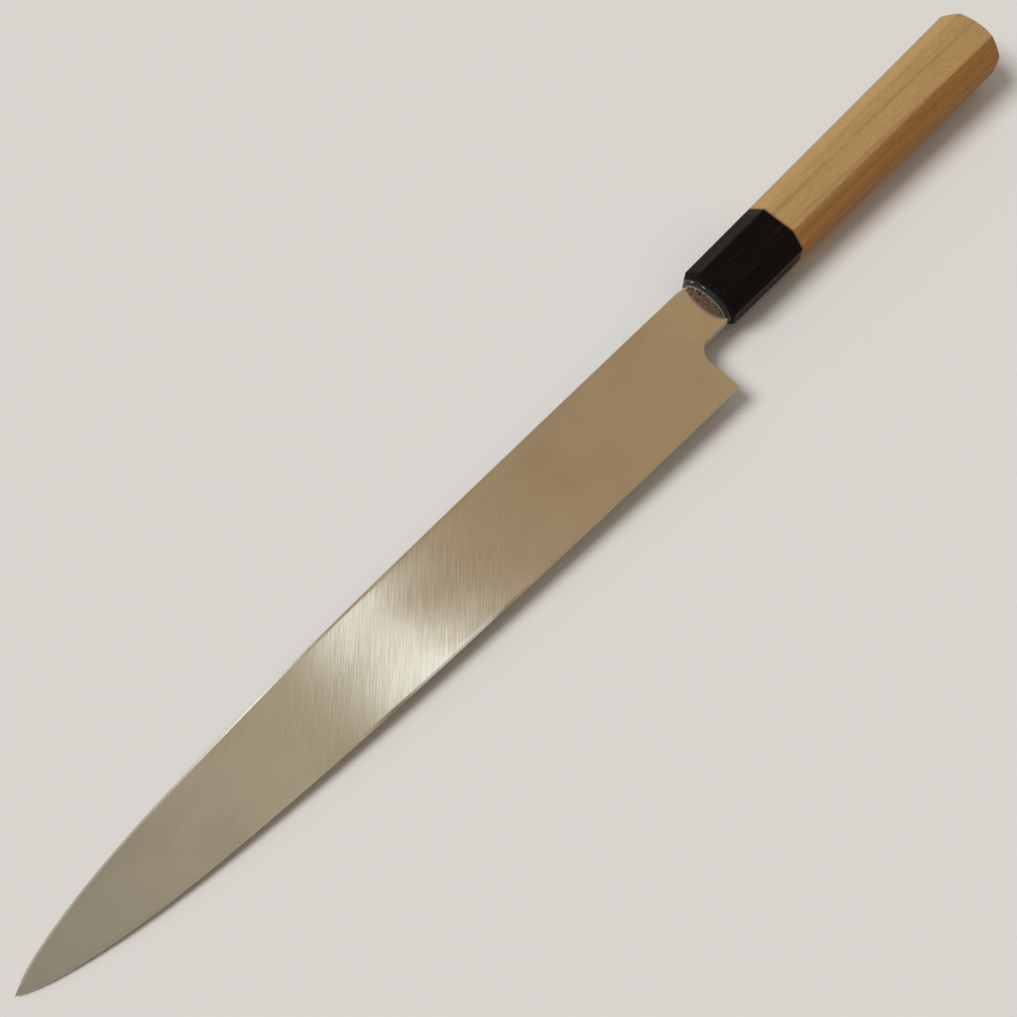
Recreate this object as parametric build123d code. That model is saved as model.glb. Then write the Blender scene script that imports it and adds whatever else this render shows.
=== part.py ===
from build123d import *
import math
import os

# A yanagiba, the long single-bevel slicing knife, with an octagonal wooden handle. Millimetres.
# The knife is built in a frame of its own: X runs along the handle's axis from the tip to the butt, with
# zero at the front face of the ferrule, Y points to the spine and Z out of the hollow back of the blade.
# At the end the whole knife is laid on its bevelled side, Z up, as it lies on a table.

# Handle, one octagon that grows from the ferrule to the butt
handle_length = 150.0
front_height = 22.4
front_width = 17.8
front_chamfer = 5.4
butt_height = 26.0
butt_width = 20.2
butt_chamfer = 5.8
butt_dome_radius = 24.0
butt_easing = 0.8

# Ferrule and the wooden tenon inside it
ferrule_length = 36.5
ferrule_easing = 1.4
tenon_height = 17.2
tenon_width = 11.4
tenon_fit = 0.05

# Blade outline
tip_reach = 300.0
tip_drop = 3.05
spine_rise = 13.25
heel_reach = 16.7
heel_drop = 28.45
heel_lean = 0.8
notch_radius = 6.4
neck_top = 8.3
neck_bottom = 9.9
shoulder_length = 6.5

# Blade thickness, measured down from the plane of the hollow back
back_plane = 1.7
neck_thickness = 3.9
tip_thickness = 1.6
steel_at_neck = 1.2
steel_at_tip = 0.5
edge_thickness = 0.15
bevel_width = 15.0
tip_bevel_slope = 0.12

# Hollow of the back, ground on a large wheel, with a flat rim left along the edge and the spine
wheel_radius = 430.0
edge_rim = 1.3
spine_rim = 1.0
hollow_fade_reach = 42.0
hollow_fade_length = 28.0
hollow_tip_reach = 268.0
hollow_tip_length = 18.0
surface_tolerance = 0.003

# Tang, and the seal round its mouth
tang_length = 112.0
tang_root_top = 6.2
tang_root_bottom = 6.6
tang_end_top = 2.3
tang_end_bottom = 2.9
tang_end_thickness = 2.0
tang_fit = 0.12
tang_end_room = 4.0
seal_depth = 4.0
seal_margin = 0.65
seal_corner_share = 0.6

# One overrun serves all cuts
overrun = 2.0

# Counts of the rows and lanes that shape the hollow, and of the places tried for the resting pose
hollow_rows = 40
hollow_lanes = 9
pose_places = 120

# Outline points from the tip to the neck: the share of the line's reach from the tip, then the share of
# the spine's rise above the tip or of the edge's fall below it
spine_shares = [
    (0.0, 0.0), (0.0164, 0.185), (0.0528, 0.423), (0.125, 0.687), (0.2385, 0.876),
    (0.392, 0.981), (0.528, 1.0), (0.75, 0.970), (1.0, 0.903),
]
edge_shares = [
    (0.0, 0.0), (0.017, 0.0945), (0.055, 0.238), (0.13, 0.423), (0.265, 0.612),
    (0.49, 0.797), (0.706, 0.9015), (0.8825, 0.972), (1.0, 1.0),
]
edge_fall = heel_drop - tip_drop
edge_reach = tip_reach - heel_reach
spine_reach = tip_reach - shoulder_length
spine_points = [
    (-tip_reach + along * spine_reach, -tip_drop + up * spine_rise) for along, up in spine_shares
]
edge_points = [
    (-tip_reach + along * edge_reach, -tip_drop - down * edge_fall) for along, down in edge_shares
]
spine_line = Spline(*spine_points)
edge_line = Spline(*edge_points)


def height_on(line, x):
    # The Y of a line that runs steadily along X, found by halving
    low, high = 0.0, 1.0
    for _ in range(50):
        middle = (low + high) / 2
        if line.position_at(middle).X < x:
            low = middle
        else:
            high = middle
    return line.position_at(low).Y


def share_from_neck(x):
    return -x / tip_reach


def thickness(x):
    return neck_thickness + (tip_thickness - neck_thickness) * share_from_neck(x)


def steel_thickness(x):
    return steel_at_neck + (steel_at_tip - steel_at_neck) * share_from_neck(x)


def bevel_slope(x):
    # How fast the bevel rises from the edge. It eases from the heel to the tip.
    heel_slope = (thickness(-heel_reach) - edge_thickness) / bevel_width
    return heel_slope + (tip_bevel_slope - heel_slope) * share_from_neck(x)


def slab_below(depth_at):
    # Everything under the flat face that lies depth_at(x) below the plane of the back
    front, rear = -tip_reach - overrun, handle_length
    deep = back_plane - neck_thickness - overrun
    outline = Polyline(
        (front, 0, back_plane - depth_at(front)),
        (rear, 0, back_plane - depth_at(rear)),
        (rear, 0, deep),
        (front, 0, deep),
        close=True,
    )
    return extrude(make_face(outline), amount=heel_drop + overrun, both=True)


def blade_outline():
    # Plan of the blade and neck: spine, shoulder, ferrule end, neck, notch, heel and edge
    shoulder = spine_line @ 1
    heel = edge_line @ 1
    top = Vector(0, neck_top)
    bottom = Vector(0, -neck_bottom)
    heel_top = Vector(heel.X + heel_lean, -neck_bottom)
    shoulder_arc = TangentArc(shoulder, top, tangent=spine_line % 1)
    end = Line(top, bottom)
    notch = FilletPolyline(bottom, heel_top, heel, radius=notch_radius)
    return make_face([spine_line, shoulder_arc, end, notch, edge_line])


def run_on(points, start_length, end_length):
    # The same points with one more at each end, straight on
    first = points[0] + (points[0] - points[1]).normalized() * start_length
    last = points[-1] + (points[-1] - points[-2]).normalized() * end_length
    return [first, *points, last]


def bevel_cutter():
    # Everything under the bevel, a ruled face that starts at the edge and climbs across the blade
    across = heel_drop + spine_rise
    outer, inner = [], []
    for x, y in edge_points:
        rise = Vector(0, 1, -bevel_slope(x))
        foot = Vector(x, y, back_plane - edge_thickness)
        outer.append(foot - rise * overrun)
        inner.append(foot + rise * across)
    lines = [Spline(*run_on(points, overrun, notch_radius)) for points in (outer, inner)]
    face = Face.make_surface_from_curves(*lines)
    return extrude(face, amount=across, dir=(0, 0, -1))


def hollow_cutter():
    # A shallow trough, as deep as a large wheel grinds between the two rims. It fades at the neck and tip.
    rows = []
    start = -(hollow_tip_reach + tip_reach) / 2
    end = -shoulder_length
    for step in range(hollow_rows + 1):
        x = start + (end - start) * step / hollow_rows
        low = height_on(edge_line, min(x, -heel_reach)) + edge_rim
        high = height_on(spine_line, x) - spine_rim
        middle, half = (low + high) / 2, (high - low) / 2
        neck_fade = (x + hollow_fade_reach) / hollow_fade_length
        tip_fade = (-hollow_tip_reach - x) / hollow_tip_length
        fade = max(0, neck_fade, tip_fade)
        row = []
        for lane in range(hollow_lanes + 1):
            offset = (2 * lane / hollow_lanes - 1) * (half + overrun)
            depth = (half ** 2 * (1 - fade ** 2) - offset ** 2) / (2 * wheel_radius)
            row.append(Vector(x, middle + offset, back_plane - depth))
        rows.append(row)
    face = Face.make_surface_from_array_of_points(rows, tol=surface_tolerance)
    return extrude(face, amount=neck_thickness, dir=(0, 0, 1))


def octagon(x, height, width, chamfer):
    half_height, half_width = height / 2, width / 2
    flat_y, flat_z = half_height - chamfer, half_width - chamfer
    return [
        (x, half_height, flat_z), (x, flat_y, half_width), (x, -flat_y, half_width),
        (x, -half_height, flat_z), (x, -half_height, -flat_z), (x, -flat_y, -half_width),
        (x, flat_y, -half_width), (x, half_height, -flat_z),
    ]


def tapered_block(first, last):
    # Flat facets between two outlines that have as many corners and parallel edges
    facets = []
    for corner in range(len(first)):
        facet = Polyline(first[corner - 1], first[corner], last[corner], last[corner - 1], close=True)
        facets.append(make_face(facet).face())
    ends = [make_face(Polyline(*corners, close=True)).face() for corners in (first, last)]
    return Solid(Shell(facets + ends))


def cross_block(x_low, x_high):
    # A block that holds the whole handle between two planes across it
    return Pos((x_low + x_high) / 2, 0, 0) * Box(x_high - x_low, 2 * butt_height, 2 * butt_height)


def oval(height, width, x_low, x_high):
    plane = Plane(origin=(x_low, 0, 0), x_dir=(0, 1, 0), z_dir=(1, 0, 0))
    return extrude(plane * Ellipse(height / 2, width / 2), amount=x_high - x_low)


def tang_block(margin, x_low, x_high):
    # The tang tapers in height and thickness, and margin is added all round it
    def section(x):
        share = x / tang_length
        top = tang_root_top + (tang_end_top - tang_root_top) * share + margin
        bottom = tang_root_bottom + (tang_end_bottom - tang_root_bottom) * share + margin
        low = back_plane - neck_thickness
        root_high = back_plane - steel_at_neck
        high = root_high + (low + tang_end_thickness - root_high) * share
        return [
            (x, top, low - margin), (x, top, high + margin),
            (x, -bottom, high + margin), (x, -bottom, low - margin),
        ]
    return tapered_block(section(x_low), section(x_high))


def seal_block():
    # The pocket of the seal stands a margin outside the tang and the full thickness of the neck
    middle_y = (tang_root_top - tang_root_bottom) / 2
    middle_z = back_plane - neck_thickness / 2
    plane = Plane(origin=(0, middle_y, middle_z), x_dir=(0, 1, 0), z_dir=(1, 0, 0))
    length = tang_root_top + tang_root_bottom + 2 * seal_margin
    width = neck_thickness + 2 * seal_margin
    pocket = RectangleRounded(length, width, seal_corner_share * width / 2)
    return extrude(plane * pocket, amount=seal_depth)


def resting_tilt():
    # The knife lies on the rounded lower rim of the ferrule and on the far end of the blade. The tilt is
    # the least one at which some place along the lower corner of the spine reaches the table.
    rim_x, rim_z = ferrule_easing, ferrule_easing - front_width / 2
    tilts = []
    for place in range(pose_places):
        x = -tip_reach + spine_reach * place / pose_places
        width = height_on(spine_line, x) - height_on(edge_line, min(x, -heel_reach))
        low = back_plane - min(thickness(x), edge_thickness + bevel_slope(x) * width)
        along, up = rim_x - x, low - rim_z
        tilts.append(math.atan2(up, along) + math.asin(ferrule_easing / math.hypot(along, up)))
    return math.degrees(min(tilts))


handle_blank = tapered_block(
    octagon(0, front_height, front_width, front_chamfer),
    octagon(handle_length, butt_height, butt_width, butt_chamfer),
)

# Horn ferrule
horn_ferrule = handle_blank & cross_block(-overrun, ferrule_length)
horn_ferrule = fillet(horn_ferrule.faces().sort_by(Axis.X)[0].edges(), ferrule_easing)
bore_height, bore_width = tenon_height + 2 * tenon_fit, tenon_width + 2 * tenon_fit
horn_ferrule -= oval(bore_height, bore_width, -overrun, ferrule_length + overrun)

# Wooden handle with its tenon, the seat of the tang and the pocket of the seal
dome_centre = handle_length - butt_dome_radius
dome = Pos(dome_centre, 0, 0) * Sphere(butt_dome_radius)
dome += Pos(dome_centre / 2, 0, 0) * Rot(0, 90, 0) * Cylinder(butt_dome_radius, dome_centre)
grip = handle_blank & cross_block(ferrule_length, handle_length + overrun) & dome
grip = fillet(grip.edges().filter_by(GeomType.LINE, reverse=True), butt_easing)
handle_wood = grip + oval(tenon_height, tenon_width, 0, ferrule_length + overrun)
handle_wood -= tang_block(tang_fit, -overrun, tang_length + tang_end_room)
handle_wood -= seal_block()

# Blade: hard steel on the hollow back and along the edge, soft iron behind it with the neck and the tang
blade = extrude(Pos(0, 0, back_plane) * blade_outline(), amount=-neck_thickness)
blade -= slab_below(thickness)
blade -= bevel_cutter()
blade -= hollow_cutter()
iron_side = slab_below(steel_thickness)
blade_iron = (blade & iron_side) + tang_block(0, 0, tang_length)
blade_steel = blade - iron_side

# Resin seal in the mouth of the tenon, round the tang
mouth_seal = seal_block() - tang_block(0, -overrun, tang_length)

pieces = {
    "blade_steel": blade_steel,
    "blade_iron": blade_iron,
    "horn_ferrule": horn_ferrule,
    "handle_wood": handle_wood,
    "mouth_seal": mouth_seal,
}

# Laid down at rest, with the origin under the middle of the whole knife
laid = {name: Rot(0, -resting_tilt(), 0) * shape for name, shape in pieces.items()}
bounds = Compound(list(laid.values())).bounding_box()
to_origin = Pos(-bounds.center().X, -bounds.center().Y, -bounds.min.Z)
nodes = {name: to_origin * shape for name, shape in laid.items()}

os.makedirs("parts", exist_ok=True)
for name, shape in nodes.items():
    export_step(shape, f"parts/{name}.step")
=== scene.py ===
from math import cos, pi, radians, sin, tan

import bpy
import numpy as np
from mathutils import Matrix, Vector


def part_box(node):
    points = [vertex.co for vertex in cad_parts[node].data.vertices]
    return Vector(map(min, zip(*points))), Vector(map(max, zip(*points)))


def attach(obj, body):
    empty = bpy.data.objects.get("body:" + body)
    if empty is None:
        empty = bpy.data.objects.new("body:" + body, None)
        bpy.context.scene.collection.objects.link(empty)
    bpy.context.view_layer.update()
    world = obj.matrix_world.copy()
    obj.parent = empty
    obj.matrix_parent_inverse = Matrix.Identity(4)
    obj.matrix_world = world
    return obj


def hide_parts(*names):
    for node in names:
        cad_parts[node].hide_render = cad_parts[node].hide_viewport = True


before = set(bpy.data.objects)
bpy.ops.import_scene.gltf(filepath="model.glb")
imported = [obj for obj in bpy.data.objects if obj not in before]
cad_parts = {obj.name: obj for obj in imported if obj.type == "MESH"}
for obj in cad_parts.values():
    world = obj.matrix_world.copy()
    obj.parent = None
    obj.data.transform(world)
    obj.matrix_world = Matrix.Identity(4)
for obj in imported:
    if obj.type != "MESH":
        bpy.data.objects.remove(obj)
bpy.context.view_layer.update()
print("frame loaded")

# The knife's sizes are in millimetres, in its own frame: x from the tip to the butt with zero at the
# ferrule's front, y to the spine, z out of the hollow back. The table tilts that frame by restTilt. Floor,
# lamps, camera and the height of bumps are in metres.
mm = 0.001
restTilt = radians(1.788)

handle = {
    "length": 150.0,
    "frontHeight": 22.4,
    "frontWidth": 17.8,
    "frontChamfer": 5.4,
    "buttHeight": 26.0,
    "buttWidth": 20.2,
    "buttChamfer": 5.8,
    "domeRadius": 24.0,
    "buttEasing": 0.8,
    "edgeEasing": 0.35,
    "leastEasing": 0.06,
    "flatSupport": 3.0,  # from a corner to the first point along a flat, in radii of the corner
    "ferruleLength": 36.5,
}


def alongHandle(x, first, last):
    # A size that grows steadily from the ferrule's front to the butt
    return first + (last - first) * x / handle["length"]


turn = np.array([[cos(restTilt), 0, -sin(restTilt)], [0, 1, 0], [sin(restTilt), 0, cos(restTilt)]])
ferruleLow, ferruleHigh = (np.array(corner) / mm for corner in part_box("horn_ferrule"))
woodHigh = np.array(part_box("handle_wood")[1]) / mm
domeCentre = handle["length"] - handle["domeRadius"]
ferruleHalf = alongHandle(handle["ferruleLength"], handle["frontWidth"], handle["buttWidth"]) / 2
# The shift puts the dome's far end, the ferrule's middle and the top of its rear where the CAD has them
shift = np.array([
    woodHigh[0] - handle["domeRadius"] - cos(restTilt) * domeCentre,
    (ferruleLow[1] + ferruleHigh[1]) / 2,
    ferruleHigh[2] - sin(restTilt) * handle["ferruleLength"] - cos(restTilt) * ferruleHalf,
])


def inRow(points):
    # From the knife's frame in millimetres to the table's frame in metres
    return (points @ turn.T + shift) * mm


# Meshes

def makePiece(name, rows, firstCap=False, lastCap=False, joinEnds=False, sharpAngle=28):
    # rows is an array of closed loops, one point per lane. Neighbouring loops are joined by quads, and a cap
    # is a fan round the loop's middle.
    rowCount, laneCount = rows.shape[:2]
    points = rows.reshape(-1, 3)
    index = np.arange(rowCount * laneCount).reshape(rowCount, laneCount)
    if joinEnds:
        index = np.vstack([index, index[:1]])
    across = np.roll(index, -1, axis=1)
    quads = np.stack([index[:-1], across[:-1], across[1:], index[1:]], axis=-1).reshape(-1, 4)
    fans = []
    for wanted, ring, flip in ((firstCap, index[0], False), (lastCap, index[-1], True)):
        if wanted:
            middle = len(points)
            points = np.vstack([points, points[ring].mean(axis=0)])
            fan = np.stack([np.full(laneCount, middle), np.roll(ring, -1), ring], axis=-1)
            fans.append(fan[:, ::-1] if flip else fan)
    triangles = np.vstack([quads[:, [0, 1, 2]], quads[:, [0, 2, 3]], *fans])
    a, b, c = (points[triangles[:, corner]] for corner in range(3))
    outwards = np.einsum("ij,ij->i", a, np.cross(b, c)).sum() > 0
    faces = quads.tolist() + [face for fan in fans for face in fan.tolist()]
    if not outwards:
        faces = [face[::-1] for face in faces]
    mesh = bpy.data.meshes.new(name)
    mesh.from_pydata(inRow(points).tolist(), [], faces)
    mesh.shade_smooth()
    mesh.set_sharp_from_angle(angle=radians(sharpAngle))
    mesh.update()
    piece = bpy.data.objects.new(name, mesh)
    bpy.context.scene.collection.objects.link(piece)
    return piece


def setAttribute(piece, name, values):
    # One number per point, for the materials. Cap middles come last and take the first numbers again.
    values = np.resize(np.asarray(values, np.float32), len(piece.data.vertices))
    attribute = piece.data.attributes.new(name, "FLOAT", "POINT")
    attribute.data.foreach_set("value", values)


def dress(piece, nodes, material):
    # Puts a piece in place of CAD nodes, with its slot and material
    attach(piece, "root")
    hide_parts(*nodes)
    piece.data.materials.append(material)


# Node helpers

class Nodes:
    # A small wrapper that adds nodes to a tree and links them
    def __init__(self, tree):
        self.tree = tree

    def add(self, kind, settings=None, **values):
        node = self.tree.nodes.new(kind)
        for name, value in (settings or {}).items():
            setattr(node, name, value)
        for name, value in values.items():
            self.give(node, name, value)
        return node

    def give(self, node, name, value):
        # Links or sets an input. A name such as i1 is the input's place, for nodes with several of one name.
        socket = node.inputs[int(name[1:])] if name[0] == "i" and name[1:].isdigit() else node.inputs[name]
        if isinstance(value, bpy.types.NodeSocket):
            self.tree.links.new(value, socket)
        else:
            socket.default_value = value

    def math(self, operation, a, b=0.0):
        return self.add("ShaderNodeMath", {"operation": operation}, i0=a, i1=b).outputs[0]

    def span(self, value, low, high, first=0.0, last=1.0, smooth=True):
        # first below low, last above high, and an eased step between them
        node = self.add("ShaderNodeMapRange", {"interpolation_type": "SMOOTHSTEP" if smooth else "LINEAR"})
        for name, number in zip(("Value", "From Min", "From Max", "To Min", "To Max"),
                                (value, low, high, first, last)):
            self.give(node, name, number)
        return node.outputs[0]

    def mix(self, share, first, last, blend="MIX"):
        node = self.add("ShaderNodeMix", {"data_type": "RGBA", "blend_type": blend})
        for place, value in zip((0, 6, 7), (share, first, last)):
            self.give(node, f"i{place}", value)
        return node.outputs[2]

    def noise(self, vector, scale=1.0, detail=2.0, roughness=0.5):
        node = self.add("ShaderNodeTexNoise", Vector=vector, Scale=scale, Detail=detail, Roughness=roughness)
        return node.outputs[0]

    def stretched(self, vector, scale, angle=0.0):
        # Turned about z, then scaled along each axis
        turned = self.add("ShaderNodeMapping", Vector=vector, Rotation=(0, 0, -angle)).outputs[0]
        return self.add("ShaderNodeMapping", Vector=turned, Scale=scale).outputs[0]

    def knifeFrame(self):
        # Object coordinates taken back to the knife's own frame, in millimetres
        place = self.add("ShaderNodeTexCoord").outputs["Object"]
        back = self.add("ShaderNodeMapping", {"vector_type": "TEXTURE"}, Vector=place,
                        Location=tuple(shift * mm), Rotation=(0, -restTilt, 0), Scale=(mm, mm, mm))
        return back.outputs[0]

    def within(self, value, limits):
        # 1 between the two inner limits, eased to 0 at the two outer ones
        start, full, fullEnd, end = limits
        return self.math("MULTIPLY", self.span(value, start, full), self.span(value, end, fullEnd))

    def relief(self, shader, height, look):
        # Fine relief from a pattern, as strong and as high as the look says
        bump = self.add("ShaderNodeBump", Height=height, Strength=look["bumpStrength"],
                        Distance=look["bumpHeight"])
        self.give(shader, "Normal", bump.outputs[0])

    def attribute(self, name):
        return self.add("ShaderNodeAttribute", {"attribute_name": name}).outputs["Fac"]


def newMaterial(name):
    material = bpy.data.materials.new(name)
    material.use_nodes = True
    material.node_tree.nodes.clear()
    nodes = Nodes(material.node_tree)
    shader = nodes.add("ShaderNodeBsdfPrincipled")
    nodes.add("ShaderNodeOutputMaterial", Surface=shader.outputs[0])
    return material, nodes, shader


def rgb(red, green, blue):
    return (red, green, blue, 1.0)


# Materials

def makeGrindGroup():
    # Grinding marks, shared by both steels. Their height is the sum of two noises, and their streaks are the
    # broader noise with its contrast raised.
    tree = bpy.data.node_groups.new("grindMarks", "ShaderNodeTree")
    for name, kind in (("Vector", "NodeSocketVector"), ("Fineness", "NodeSocketFloat")):
        tree.interface.new_socket(name, in_out="INPUT", socket_type=kind)
    for name in ("Height", "Streaks"):
        tree.interface.new_socket(name, in_out="OUTPUT", socket_type="NodeSocketFloat")
    nodes = Nodes(tree)
    source = nodes.add("NodeGroupInput")
    scaled = nodes.add("ShaderNodeVectorMath", {"operation": "SCALE"}, i0=source.outputs["Vector"],
                       Scale=source.outputs["Fineness"]).outputs[0]
    fine = nodes.noise(scaled, detail=3.0, roughness=0.6)
    broad = nodes.noise(scaled, scale=0.7)
    height = nodes.math("ADD", fine, broad)
    streaks = nodes.span(broad, 0.35, 0.65)
    nodes.add("NodeGroupOutput", Height=height, Streaks=streaks)
    return tree


grindGroup = makeGrindGroup()

steelLook = {
    "marksAngle": radians(42.0),  # from the knife's axis
    "marksScale": (0.10, 4.2, 1.0),
    "cloudScale": (0.03, 0.05, 0.05),
    "cloudSpan": (0.45, 0.7),
    "cloudShare": 0.3,
    "tint": rgb(0.77, 0.70, 0.587),
    "stain": rgb(0.60, 0.52, 0.42),
    # painted glint of the lamp, laid between the marks beside the band
    "paintedGlint": rgb(1.0, 0.92, 0.78),
    # painted dark reflection on the edge's rim, where the hollow mirrors the lamp
    "paintedDarkRim": rgb(0.12, 0.11, 0.10),
    "paintedDarkRimShare": 0.6,
    "faintMarks": 0.07,
    "bandMarks": 0.32,
    "darkMarks": 0.55,
    "paintedGlintShare": 0.20,
    "deeperMarks": 2.8,
    "roughness": 0.165,
    "streakRoughness": 0.02,
    "rimRoughness": 0.10,
    "rimBlend": 0.1,
    "paintedDarkRimBlend": 0.3,
    "bumpStrength": 0.41,
    "bumpHeight": 0.00003,
    # Stretches along x: each comes in between its first two limits and goes out between its last two
    "bandPlace": (-80.0, -115.0, -180.0, -215.0),
    "besidePlace": (-106.0, -130.0, -141.0, -154.0),
    "paintedDarkRimPlace": (-112.0, -126.0, -168.0, -182.0),
}


def makeHardSteel():
    # Tinted steel, stained in clouds, with slanted grinding marks in its colour, its roughness and its relief
    # Its colour also holds painted reflection in the marks, painted glints and a painted dark rim
    look = steelLook
    material, nodes, shader = newMaterial("hardSteel")
    place = nodes.knifeFrame()
    marks = nodes.add("ShaderNodeGroup", {"node_tree": grindGroup}, Fineness=1.0,
                      Vector=nodes.stretched(place, look["marksScale"], look["marksAngle"])).outputs
    x = nodes.add("ShaderNodeSeparateXYZ", Vector=place).outputs[0]
    cloud = nodes.noise(nodes.stretched(place, look["cloudScale"]), detail=3.0, roughness=0.55)
    cloud = nodes.span(cloud, *look["cloudSpan"], 0.0, look["cloudShare"])
    colour = nodes.mix(cloud, look["tint"], look["stain"])
    # The marks' colour is strongest in the band where the hollow mirrors the lamp: partly real marks, partly
    # painted reflection. On its neck side they are deeper, and dark and bright by turns; the bright streaks
    # are painted glints.
    band = nodes.within(x, look["bandPlace"])
    beside = nodes.within(x, look["besidePlace"])
    share = nodes.span(band, 0.0, 1.0, look["faintMarks"], look["bandMarks"])
    share = nodes.span(beside, 0.0, 1.0, share, look["darkMarks"])
    colour = nodes.mix(nodes.math("MULTIPLY", marks["Streaks"], share), colour, look["stain"])
    # Painted glints: bright streaks in the gaps between the marks beside the band
    paintedGlintMask = nodes.math("MULTIPLY", nodes.span(marks["Streaks"], 0.0, 1.0, 1.0, 0.0), beside)
    colour = nodes.mix(nodes.math("MULTIPLY", paintedGlintMask, look["paintedGlintShare"]), colour, look["paintedGlint"])
    # The rims are polished on a stone. Painted dark reflection: the edge's rim is darkened where the hollow
    # mirrors the lamp.
    fromEdge, edgeRim = nodes.attribute("fromEdge"), blade["edgeRim"]
    fromSpine, spineRim = nodes.attribute("fromSpine"), blade["spineRim"]
    rim = nodes.math("MAXIMUM", nodes.span(fromEdge, edgeRim, edgeRim - look["rimBlend"]),
                     nodes.span(fromSpine, spineRim, spineRim - look["rimBlend"]))
    paintedDarkRim = nodes.math("MULTIPLY", nodes.span(fromEdge, edgeRim, edgeRim - look["paintedDarkRimBlend"]),
                         nodes.within(x, look["paintedDarkRimPlace"]))
    colour = nodes.mix(nodes.math("MULTIPLY", paintedDarkRim, look["paintedDarkRimShare"]), colour, look["paintedDarkRim"])
    nodes.give(shader, "Base Color", colour)
    nodes.give(shader, "Metallic", 1.0)
    roughness = nodes.math("MULTIPLY", marks["Streaks"], look["streakRoughness"])
    roughness = nodes.math("ADD", look["roughness"], roughness)
    nodes.give(shader, "Roughness", nodes.span(rim, 0.0, 1.0, roughness, look["rimRoughness"], smooth=False))
    height = nodes.math("MULTIPLY", marks["Height"], nodes.span(beside, 0.0, 1.0, 1.0, look["deeperMarks"]))
    nodes.relief(shader, height, look)
    return material


ironLook = {
    "marksScale": (0.04, 3.4, 3.4),
    "cloudScale": (0.05, 0.2, 0.2),
    "cloudSpan": (0.2, 0.8),
    "pale": rgb(0.60, 0.56, 0.50),
    "dark": rgb(0.46, 0.43, 0.39),
    "roughness": (0.34, 0.46),
    "bumpStrength": 0.3,
    "bumpHeight": 0.00004,
}


def makeSoftIron():
    # Cloudy iron, brushed lengthwise
    look = ironLook
    material, nodes, shader = newMaterial("softIron")
    place = nodes.knifeFrame()
    marks = nodes.add("ShaderNodeGroup", {"node_tree": grindGroup}, Fineness=1.0,
                      Vector=nodes.stretched(place, look["marksScale"])).outputs
    cloud = nodes.noise(nodes.stretched(place, look["cloudScale"]), detail=4.0, roughness=0.6)
    nodes.give(shader, "Base Color", nodes.mix(cloud, look["pale"], look["dark"]))
    nodes.give(shader, "Metallic", 1.0)
    nodes.give(shader, "Roughness", nodes.span(cloud, *look["cloudSpan"], *look["roughness"]))
    nodes.relief(shader, marks["Height"], look)
    return material


hornLook = {
    "streakScale": (0.06, 0.9, 0.9),
    "brownSpan": (0.45, 0.75),
    "roughSpan": (0.3, 0.8),
    "black": rgb(0.006, 0.005, 0.004),
    "brown": rgb(0.016, 0.010, 0.007),
    "roughness": (0.10, 0.2),
    "specular": 0.03,
    "frontPlace": (1.5, 1.0),  # where the bright polish of the front comes in, along x
    "frontCoat": 0.75,
    "coatRoughness": 0.06,
}


def makeHorn():
    # Black horn with faint brown streaks along it
    look = hornLook
    material, nodes, shader = newMaterial("horn")
    place = nodes.knifeFrame()
    streak = nodes.noise(nodes.stretched(place, look["streakScale"]), detail=4.0, roughness=0.6)
    colour = nodes.mix(nodes.span(streak, *look["brownSpan"]), look["black"], look["brown"])
    nodes.give(shader, "Base Color", colour)
    nodes.give(shader, "Roughness", nodes.span(streak, *look["roughSpan"], *look["roughness"]))
    nodes.give(shader, "Specular IOR Level", look["specular"])
    # The front face and its rim are polished brighter than the sides
    x = nodes.add("ShaderNodeSeparateXYZ", Vector=place).outputs[0]
    nodes.give(shader, "Coat Weight", nodes.span(x, *look["frontPlace"], 0.0, look["frontCoat"]))
    nodes.give(shader, "Coat Roughness", look["coatRoughness"])
    return material


woodLook = {
    "grainScale": (0.02, 0.35, 0.35),
    "fleckScale": (0.3, 2.4, 2.4),
    "poreScale": (0.9, 5.5, 5.5),
    "pith": (0.0, 15.0, 24.0),
    "ringStretch": (0.04, 1.0, 1.0),
    "ringScale": 0.10,
    "ringWander": 2.6,
    "ringDetailScale": 0.5,
    "grainSpan": (0.35, 0.65),
    "early": rgb(0.46, 0.30, 0.115),
    "late": rgb(0.425, 0.26, 0.098),
    # Layers over these two: colour, the values between which the pattern comes in, and its share
    "rings": (rgb(0.29, 0.155, 0.055), 0.74, 1.0, 0.5),
    "darkFlecks": (rgb(0.34, 0.20, 0.075), 0.50, 0.68, 0.48),
    "paleFlecks": (rgb(0.52, 0.36, 0.15), 0.47, 0.32, 0.5),
    "pores": (rgb(0.27, 0.15, 0.055), 0.54, 0.70, 0.5),
    "joint": rgb(0.13, 0.05, 0.02),
    "jointShare": 0.75,
    "jointPlace": (37.5, 36.6, 36.0, 35.0),
    # the tenon's end is darkened by a real stain and by painted shade
    "endPlace": (0.1, 0.6),  # where the stain of the tenon's end stops, along x
    "tenonRim": rgb(0.45, 0.31, 0.21),
    "tenonRimSpan": (0.96, 0.90),  # square of the distance from the middle, 1 at the tenon's border
    # the tenon's end: a real stain and painted shade
    "tenonStainAndShade": rgb(0.022, 0.013, 0.009),
    "tenonBrown": rgb(0.185, 0.10, 0.057),
    "brownSpan": (0.42, 0.58),
    "tenonSpeck": rgb(0.72, 0.55, 0.40),
    "speckSpan": (0.63, 0.67),
    # painted shade, multiplied in towards the edge's side
    "red": rgb(0.84, 0.62, 0.45),
    "paintedShadePlace": (-5.0, -8.5),  # along y, towards the edge's side
    "roughSpan": (0.3, 0.7),
    "roughness": (0.5, 0.62),
    "specular": 0.2,
    "bumpStrength": 0.3,
    "bumpHeight": 0.00005,
}


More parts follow.
